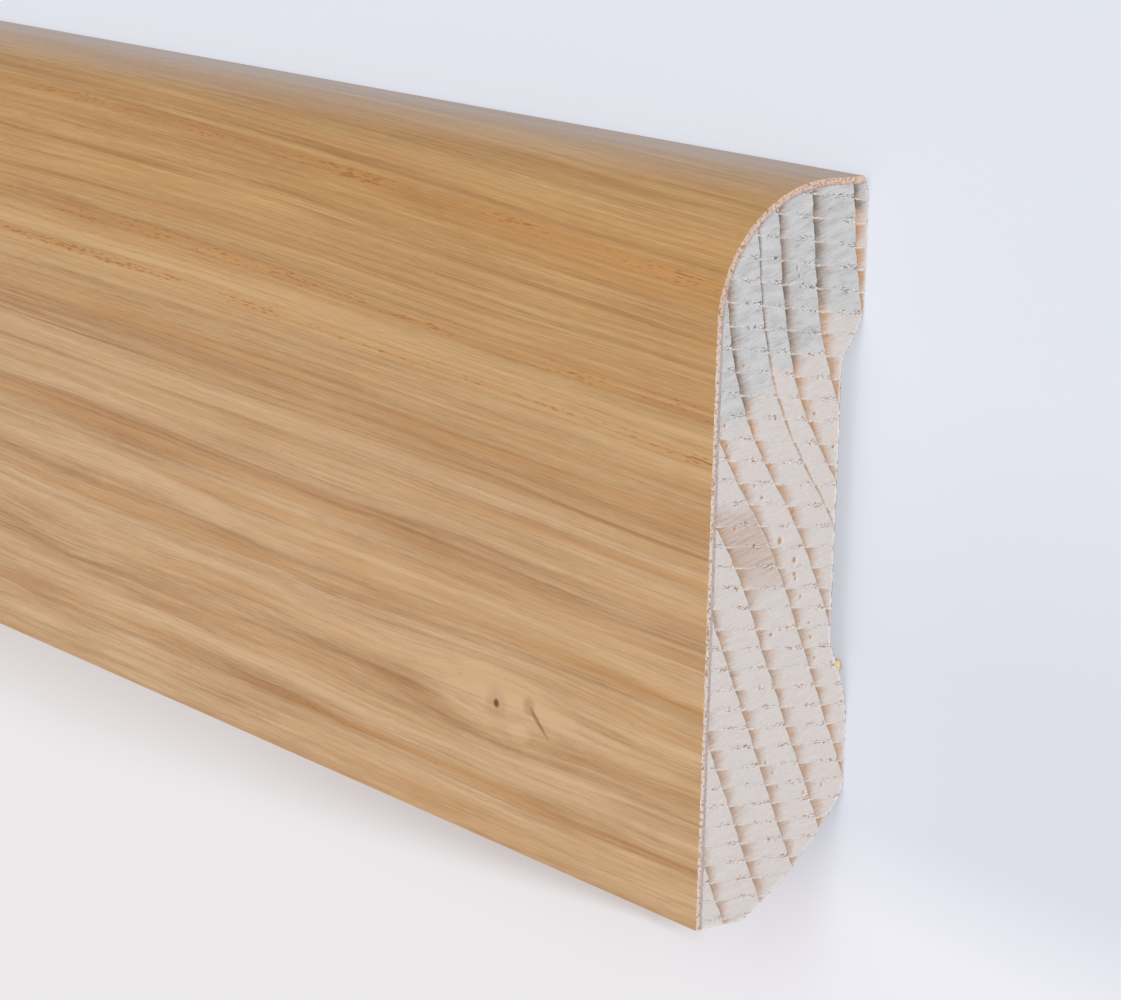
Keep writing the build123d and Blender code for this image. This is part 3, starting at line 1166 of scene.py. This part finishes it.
class MOULDING_OT_softwood_core(bpy.types.Operator):
    """Builds the planed core with its sawn ends"""

    bl_idname = "moulding.softwood_core"
    bl_label = "Softwood Core"

    def execute(self, context):
        sawn = context.scene.moulding_sawn
        colours = context.scene.moulding_softwood
        bm = bmesh.new()
        core_outline(bm, context.scene.moulding_section)
        run_to_length(bm)
        cut_ends_into_cells(bm, sawn)
        mark_arrises(bm)
        for face in bm.faces:
            face.material_index = int(abs(face.normal.x) > 0.5)
        sawn_relief(bm, sawn)
        fray_arris(bm, sawn)
        materials = (planed_softwood(colours), sawn_end_grain(colours))
        link_piece("softwood_core_planed", bm, materials, "softwood_core")
        return {"FINISHED"}


class MOULDING_OT_oak_veneer(bpy.types.Operator):
    """Builds the veneer sheet over the core"""

    bl_idname = "moulding.oak_veneer"
    bl_label = "Oak Veneer"

    def execute(self, context):
        colours = context.scene.moulding_oak
        bm = veneer_mesh(context.scene.moulding_section)
        materials = (lacquered_oak(colours), cut_veneer(colours))
        link_piece("oak_veneer_sheet", bm, materials, "oak_veneer")
        return {"FINISHED"}


class MOULDING_OT_resin_bead(bpy.types.Operator):
    """Builds the bead of resin behind the sawn end"""

    bl_idname = "moulding.resin_bead"
    bl_label = "Resin Bead"

    def execute(self, context):
        bm = resin_bead_mesh(context.scene.moulding_section)
        link_piece("resin_bead", bm, (set_resin(),), None)
        return {"FINISHED"}


class MOULDING_OT_stage(bpy.types.Operator):
    """Sets the floor, the light and the camera"""

    bl_idname = "moulding.stage"
    bl_label = "Stage"

    def execute(self, context):
        stage = context.scene.moulding_stage
        bm = bmesh.new()
        bmesh.ops.create_grid(bm, x_segments=1, y_segments=1, size=FLOOR_REACH)
        mesh = bpy.data.meshes.new("floor")
        bm.to_mesh(mesh)
        bm.free()
        mesh.materials.append(pale_floor(stage))
        floor = bpy.data.objects.new("floor", mesh)
        context.scene.collection.objects.link(floor)

        for name, strength, lit_from in (("key", stage.key, KEY_FROM), ("fill", stage.fill, FILL_FROM)):
            lamp = bpy.data.lights.new(name, "SUN")
            lamp.energy = strength
            lamp.angle = LIGHT_SPREAD
            lit = bpy.data.objects.new(name, lamp)
            lit.rotation_euler = Vector(lit_from).to_track_quat("Z", "Y").to_euler()
            context.scene.collection.objects.link(lit)

        world = bpy.data.worlds.new("soft sky")
        world.use_nodes = True
        world.node_tree.nodes.clear()
        node = partial(add, world.node_tree)
        rays = node("LightPath").node.outputs
        strength = node("Mix", rays["Is Camera Ray"], stage.sky, SKY_SEEN)
        node("OutputWorld", node("Background", to_linear("#F2F4FA"), strength))
        context.scene.world = world

        camera = bpy.data.cameras.new("camera")
        camera.lens = stage.lens
        camera.sensor_width = 36.0
        camera.sensor_fit = "HORIZONTAL"
        camera.clip_start = 0.01
        camera.clip_end = 50.0
        seen_from = bpy.data.objects.new("camera", camera)
        turned = Matrix(CAMERA_AXES).transposed().to_4x4()
        seen_from.matrix_world = Matrix.Translation(CAMERA_PLACE) @ turned
        context.scene.collection.objects.link(seen_from)
        context.scene.camera = seen_from
        context.scene.view_settings.view_transform = "Standard"
        return {"FINISHED"}


class MOULDING_PT_panel(bpy.types.Panel):
    """Lists the moulding's pieces and settings"""

    bl_idname = "MOULDING_PT_panel"
    bl_label = "Moulding"
    bl_space_type = "VIEW_3D"
    bl_region_type = "UI"
    bl_category = "Moulding"

    def draw(self, context):
        for operator in OPERATORS:
            self.layout.operator(operator.bl_idname)
        for name, group in SETTINGS.items():
            box = self.layout.box()
            box.label(text=group.__name__)
            for setting in group.__annotations__:
                box.prop(getattr(context.scene, name), setting)


OPERATORS = (MOULDING_OT_stage, MOULDING_OT_softwood_core, MOULDING_OT_oak_veneer, MOULDING_OT_resin_bead)
SETTINGS = {
    "moulding_section": SectionSizes,
    "moulding_sawn": SawnEndSizes,
    "moulding_softwood": SoftwoodColours,
    "moulding_oak": OakColours,
    "moulding_stage": StageSettings,
}


def register():
    """Registers the settings, the operators and the panel."""
    for name, group in SETTINGS.items():
        bpy.utils.register_class(group)
        setattr(bpy.types.Scene, name, PointerProperty(type=group))
    for kind in (*OPERATORS, MOULDING_PT_panel):
        bpy.utils.register_class(kind)


def unregister():
    """Takes them out again."""
    for kind in reversed((*OPERATORS, MOULDING_PT_panel)):
        bpy.utils.unregister_class(kind)
    for name, group in SETTINGS.items():
        delattr(bpy.types.Scene, name)
        bpy.utils.unregister_class(group)


def main():
    """Registers the settings and builds the whole scene."""
    register()
    bpy.ops.moulding.stage()
    bpy.ops.moulding.softwood_core()
    bpy.ops.moulding.oak_veneer()
    bpy.ops.moulding.resin_bead()


if __name__ == "__main__":
    main()
